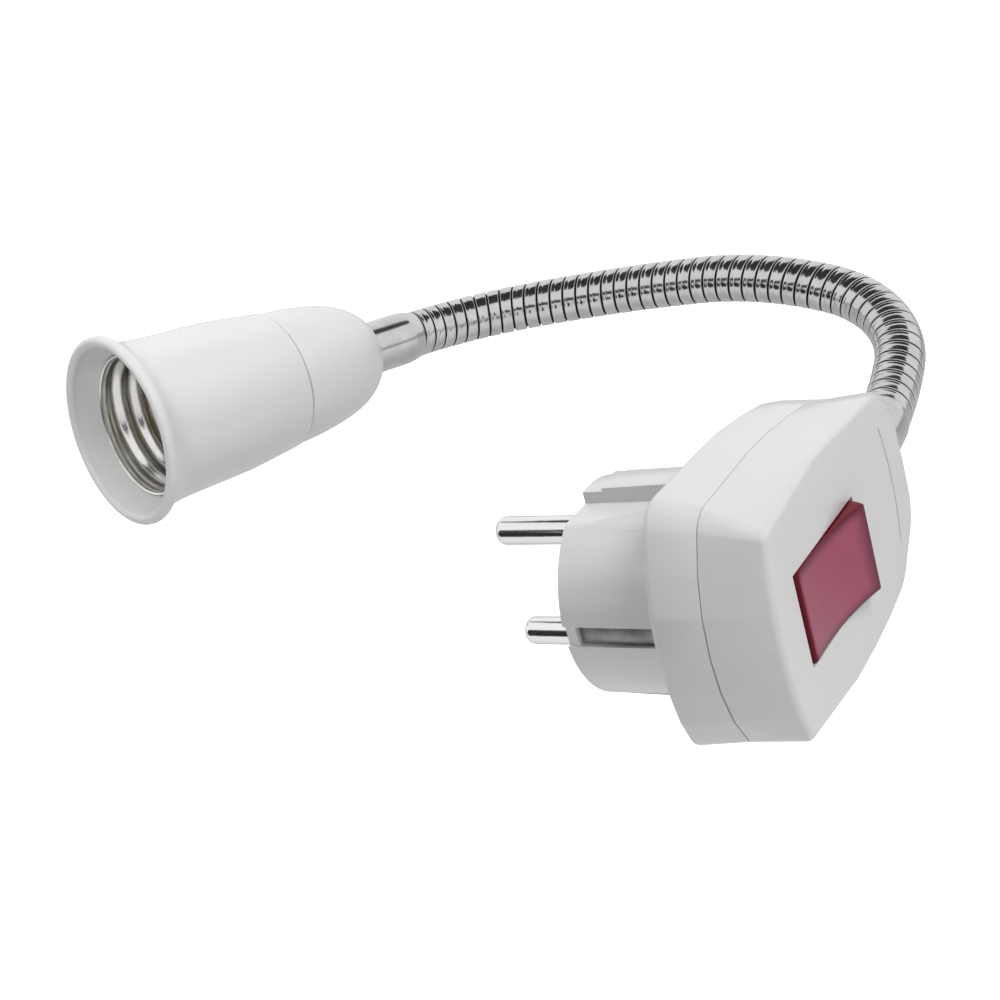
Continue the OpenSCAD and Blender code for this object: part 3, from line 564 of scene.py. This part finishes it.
def makeRocker():
    s = rockerSet
    bm = bmesh.new()
    bmesh.ops.create_cube(bm, size=1)
    bmesh.ops.scale(bm, vec=(s["length"], s["width"], s["top"] + s["skirt"]), verts=bm.verts)
    bmesh.ops.translate(bm, vec=(0, 0, (s["top"] - s["skirt"]) / 2), verts=bm.verts)
    long = [e for e in bm.edges if abs(e.verts[0].co.x - e.verts[1].co.x) > 1]
    bmesh.ops.subdivide_edges(bm, edges=long, cuts=23, use_grid_fill=True)
    upright = [e for e in bm.edges if abs(e.verts[0].co.z - e.verts[1].co.z) > 1]
    bmesh.ops.subdivide_edges(bm, edges=upright, cuts=5, use_grid_fill=True)
    chord = sqrt(s["endRadius"] ** 2 - s["top"] ** 2)
    dishRadius = (chord ** 2 + s["dish"] ** 2) / (2 * s["dish"])
    for v in bm.verts:
        reach = sqrt(s["endRadius"] ** 2 - v.co.z ** 2)
        share = v.co.x / (s["length"] / 2)
        v.co.x = share * reach
        if v.co.z > s["top"] - 0.01:
            v.co.z = s["top"] - s["dish"] + dishRadius - sqrt(dishRadius ** 2 - v.co.x ** 2)
    rim = [e for e in bm.edges if len(e.link_faces) == 2 and e.calc_face_angle(0) > radians(50)]
    bmesh.ops.bevel(bm, geom=rim, offset=s["edge"], segments=5, profile=0.5, affect="EDGES",
                    clamp_overlap=True, material=-1)
    tip = Matrix.Translation((s["x"], 0, s["depth"])) @ Matrix.Rotation(radians(s["tilt"]), 4, "Y")
    placeMesh(bm, plugPlace @ tip)
    return finishPiece("rockerPiece", bm, "red_plastic", "rocker", sharp=50, nodes=["rocker"])


makeRocker()
print("rocker ready")

# Neck: one helical strip, in four pieces that each span one station
stationTurns = (10, 20, 30, 43)
pieceEnds = (4.6, 15, 25, 36.5, lastTurn + 0.6)
stripProfile = ((0.0, 1.0), (0.04, 0.8), (0.07, 0.25), (0.1, 0.07), (0.14, 0.03), (0.3, 0.01),
                (0.45, 0.0), (0.6, 0.01), (0.645, 0.1), (0.69, 0.03), (0.84, 0.03), (0.89, 0.06),
                (0.93, 0.25), (0.96, 0.8))


def makeNeckPiece(index):
    fromTurn, toTurn = pieceEnds[index], pieceEnds[index + 1]
    rows = len(stripProfile)
    first = floor(fromTurn) - 1
    turns = floor(toTurn) + 1 - first
    around = neckSet["around"]
    bm = bmesh.new()
    bmesh.ops.create_grid(bm, x_segments=around, y_segments=turns * rows, size=0.5)
    for face in bm.faces:
        row = floor((face.calc_center_median().y + 0.5) * turns * rows)
        sinks = stripProfile[row % rows][1] + stripProfile[(row + 1) % rows][1]
        if sinks > 2 * neckSet["shadedSink"]:
            face.material_index = 1
    for v in bm.verts:
        share = v.co.x + 0.5
        row = round((v.co.y + 0.5) * turns * rows)
        phase, sink = stripProfile[row % rows]
        turn = first + row // rows + phase + share
        radius = neckSet["radius"] - neckSet["groove"] * sink
        angle = -2 * pi * share
        v.co = frameAt(turn) @ Vector((radius * cos(angle), radius * sin(angle), 0))
    bmesh.ops.remove_doubles(bm, verts=bm.verts, dist=0.002)
    for turn, outwards in ((fromTurn, -1), (toTurn, 1)):
        cut = frameAt(turn)
        bmesh.ops.bisect_plane(bm, geom=bm.verts[:] + bm.edges[:] + bm.faces[:],
                               plane_co=cut.translation, plane_no=cut.to_3x3() @ Vector((0, 0, outwards)),
                               clear_outer=True, dist=0.0005)
        edges = [e for e in bm.edges if e.is_boundary]
        bmesh.ops.holes_fill(bm, edges=edges, sides=0)
    placeMesh(bm, Matrix.Identity(4))
    piece = finishPiece(f"neckStrip{index + 1}", bm, "neck_chrome", None, sharp=60,
                        nodes=[f"neck_section_{index + 1}"] + (["neck_section_5"] if index == 3 else []))
    piece.data.materials.append(finishes["groove_shade"])
    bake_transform(piece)


for index in range(len(stationTurns)):
    makeNeckPiece(index)
print("neck ready")

# Ferrules: tubes with a pressed seam along one side; the plug's follows the neck up to its first free turn
ferruleSet = {"radius": 5.25, "plugSlim": 0.93, "bore": 2.6, "seat": 8.0, "plugLength": 18.1,
              "plugStraight": 4.0, "holderLength": 12.5, "mouth": 4.78, "neckDown": 2.4, "seamWidth": 5,
              "seamDepth": 0.16}


def ferruleProfile(outside):
    s = ferruleSet
    end = s["seat"] + outside
    straight = end - s["neckDown"] - 0.6
    wall = [(s["radius"], 0.2 + (straight - 0.2) * i / 12) for i in range(13)]
    bore = [(s["bore"], end * (1 - i / 12)) for i in range(13)]
    return [(s["radius"] - 0.2, 0)] + wall + [
        (s["radius"] - 0.03, end - s["neckDown"]), (s["radius"] - 0.14, end - s["neckDown"] + 0.5),
        (s["mouth"] + 0.2, end - 1.0), (s["mouth"] + 0.08, end - 0.5), (s["mouth"], end - 0.12),
        (s["mouth"] - 0.12, end)] + bore


def makeFerrule(name, node, outside, body, seamDeg, placeOf):
    s = ferruleSet
    bm = turnProfile(ferruleProfile(outside), steps=72)
    seam = Vector((cos(radians(seamDeg)), sin(radians(seamDeg))))
    for v in bm.verts:
        if v.co.xy.length > s["mouth"]:
            away = abs(seam.angle_signed(v.co.xy.normalized(), 0))
            v.co.xy *= 1 - max(0, 1 - away / radians(s["seamWidth"])) * s["seamDepth"] / v.co.xy.length
        v.co = placeOf(v.co.z) @ Vector((v.co.x, v.co.y, 0))
    placeMesh(bm, Matrix.Identity(4))
    return finishPiece(name, bm, "neck_chrome", body, nodes=[node])


makeFerrule("plugFerrulePiece", "plug_ferrule", ferruleSet["plugLength"], "plug", 60,
            lambda z: frameAt((z - ferruleSet["seat"] - ferruleSet["plugStraight"]) / neckSet["pitch"])
            @ Matrix.Diagonal((ferruleSet["plugSlim"], ferruleSet["plugSlim"], 1, 1)))
makeFerrule("holderFerrulePiece", "holder_ferrule", ferruleSet["holderLength"], "holder", 150,
            lambda z: holderPlace @ Matrix.Translation((0, 0, ferruleSet["seat"] - z)))
print("ferrules ready")

# Lamp holder: body with a flared rim, cap, rolled screw shell
holderSet = {"length": 57.6, "seam": 22.4, "seamGap": 0.3, "rim": 18.0, "mouth": 15.9, "bore": 13.6,
             "funnel": 5.2, "shellLength": 22.1, "shellRadius": 13.1, "shellBase": 12.2, "baseLength": 6.5}


def bodyProfile():
    s = holderSet
    top = s["length"]
    lip = arcPoints((s["rim"] + s["mouth"]) / 2, top - 1.05, (s["rim"] - s["mouth"]) / 2, 0, 180, 10)
    outer = [(12.1, s["seam"] + 0.15), (13.3, s["seam"] + 0.15), (13.5, s["seam"] + 0.35),
             (13.74, s["seam"] + 2.5), (14.2, top - 29), (14.75, top - 24), (15.02, top - 18),
             (15.2, top - 13), (15.36, top - 9.5), (15.52, top - 7.5), (15.72, top - 6.0),
             (16.0, top - 4.8), (16.4, top - 3.8), (16.9, top - 3.0), (17.4, top - 2.4),
             (17.78, top - 1.9), (17.97, top - 1.4)]
    inner = [(15.75, top - 1.6), (15.3, top - 2.5), (14.7, top - 3.8), (14.2, top - 4.7), (13.9, top - 5.1),
             (s["bore"], top - 5.4), (s["bore"], top - s["funnel"] - s["shellLength"] - 0.1),
             (12.1, top - s["funnel"] - s["shellLength"] - 4)]
    return outer + lip + inner


def capProfile():
    s = holderSet
    edge = s["seam"] - s["seamGap"] / 2
    outer = [(5.35, 0.0), (5.9, 0.0), (6.4, 0.12), (6.8, 0.4), (7.5, 1.0), (8.3, 1.85), (9.05, 2.85),
             (9.75, 4.0), (10.4, 5.3), (11.0, 6.9), (11.55, 8.8), (12.0, 10.9), (12.4, 13.2),
             (12.72, 15.6), (13.0, 18.2), (13.22, edge - 0.4), (13.1, edge - 0.1), (12.95, edge)]
    inner = [(11.85, edge), (11.8, 18.2), (11.3, 13.2), (10.4, 8.8), (9.2, 5.3), (7.6, 2.6), (5.35, 2.6)]
    return outer + inner


def makeHolderBody():
    bm = turnProfile(bodyProfile(), steps=128)
    placeMesh(bm, holderPlace)
    return finishPiece("holderBodyPiece", bm, "white_plastic", "holder", nodes=["holder_body"])


def makeHolderCap():
    bm = turnProfile(capProfile(), steps=128)
    placeMesh(bm, holderPlace)
    return finishPiece("holderCapPiece", bm, "white_plastic", "holder", nodes=["holder_cap"])


# The shell's rolled thread fades into a plain run at its mouth and into the narrow base
threadSet = {"pitch": 3.629, "depth": 0.9, "around": 96, "rows": 88, "plain": 1.4, "fade": 1.2,
             "stepHalf": 0.4, "roll": 0.22, "rollAt": 0.9, "rollHalf": 0.45, "lip": 0.35, "lipOut": 0.15,
             "baseHole": 8.0, "sheet": 0.3, "seatGap": 0.2}


def makeScrewShell():
    s, t = holderSet, threadSet
    low = s["length"] - s["funnel"] - s["shellLength"] + t["seatGap"]
    plainFrom = s["shellLength"] - t["plain"]
    bm = bmesh.new()
    bmesh.ops.create_cone(bm, cap_ends=False, segments=t["around"], radius1=1, radius2=1, depth=1)
    upright = [e for e in bm.edges if abs(e.verts[0].co.z - e.verts[1].co.z) > 0.5]
    bmesh.ops.subdivide_edges(bm, edges=upright, cuts=t["rows"], use_grid_fill=True)
    for v in bm.verts:
        height = (v.co.z + 0.5) * s["shellLength"]
        turn = Vector((1, 0)).angle_signed(v.co.xy.normalized(), 0) / (2 * pi)
        wave = 0.5 - 0.5 * cos(2 * pi * (height / t["pitch"] - turn))
        fade = min(share(height, s["baseLength"], s["baseLength"] + t["fade"]),
                   share(height, plainFrom, plainFrom - t["fade"]))
        widen = share(height, s["baseLength"] - t["stepHalf"], s["baseLength"] + t["stepHalf"])
        wall = s["shellBase"] + (s["shellRadius"] - s["shellBase"]) * widen
        offRoll = abs(s["shellLength"] - t["rollAt"] - height)
        rolled = share(offRoll, t["rollHalf"], 0) * t["roll"]
        radius = wall - t["depth"] * wave * fade - rolled
        flat = v.co.xy.normalized()
        v.co = Vector((flat.x * radius, flat.y * radius, low + height))
    front = [e for e in bm.edges if e.is_boundary and e.verts[0].co.z > low + 1]
    lip = bmesh.ops.extrude_edge_only(bm, edges=front)
    for v in [g for g in lip["geom"] if isinstance(g, bmesh.types.BMVert)]:
        v.co.xy *= (s["shellRadius"] + t["lip"]) / v.co.xy.length
        v.co.z += t["lipOut"]
    back = [e for e in bm.edges if e.is_boundary and e.verts[0].co.z < low + 1]
    base = bmesh.ops.extrude_edge_only(bm, edges=back)
    for v in [g for g in base["geom"] if isinstance(g, bmesh.types.BMVert)]:
        v.co.xy *= t["baseHole"] / v.co.xy.length
    bmesh.ops.recalc_face_normals(bm, faces=bm.faces)
    bmesh.ops.solidify(bm, geom=bm.faces[:], thickness=t["sheet"])
    placeMesh(bm, holderPlace)
    return finishPiece("screwShellPiece", bm, "shell_metal", "holder", sharp=50, nodes=["screw_shell"])


makeHolderBody()
makeHolderCap()
makeScrewShell()
easedCopy("contactBlockPiece", "contact_block", "block_ceramic", "holder", 0.3)
easedCopy("centreContactPiece", "centre_contact", "contact_brass", "holder", 0.1, segments=2)
easedCopy("sideContactPiece", "side_contact", "contact_brass", "holder", 0.1, segments=2)
print("lamp holder ready")
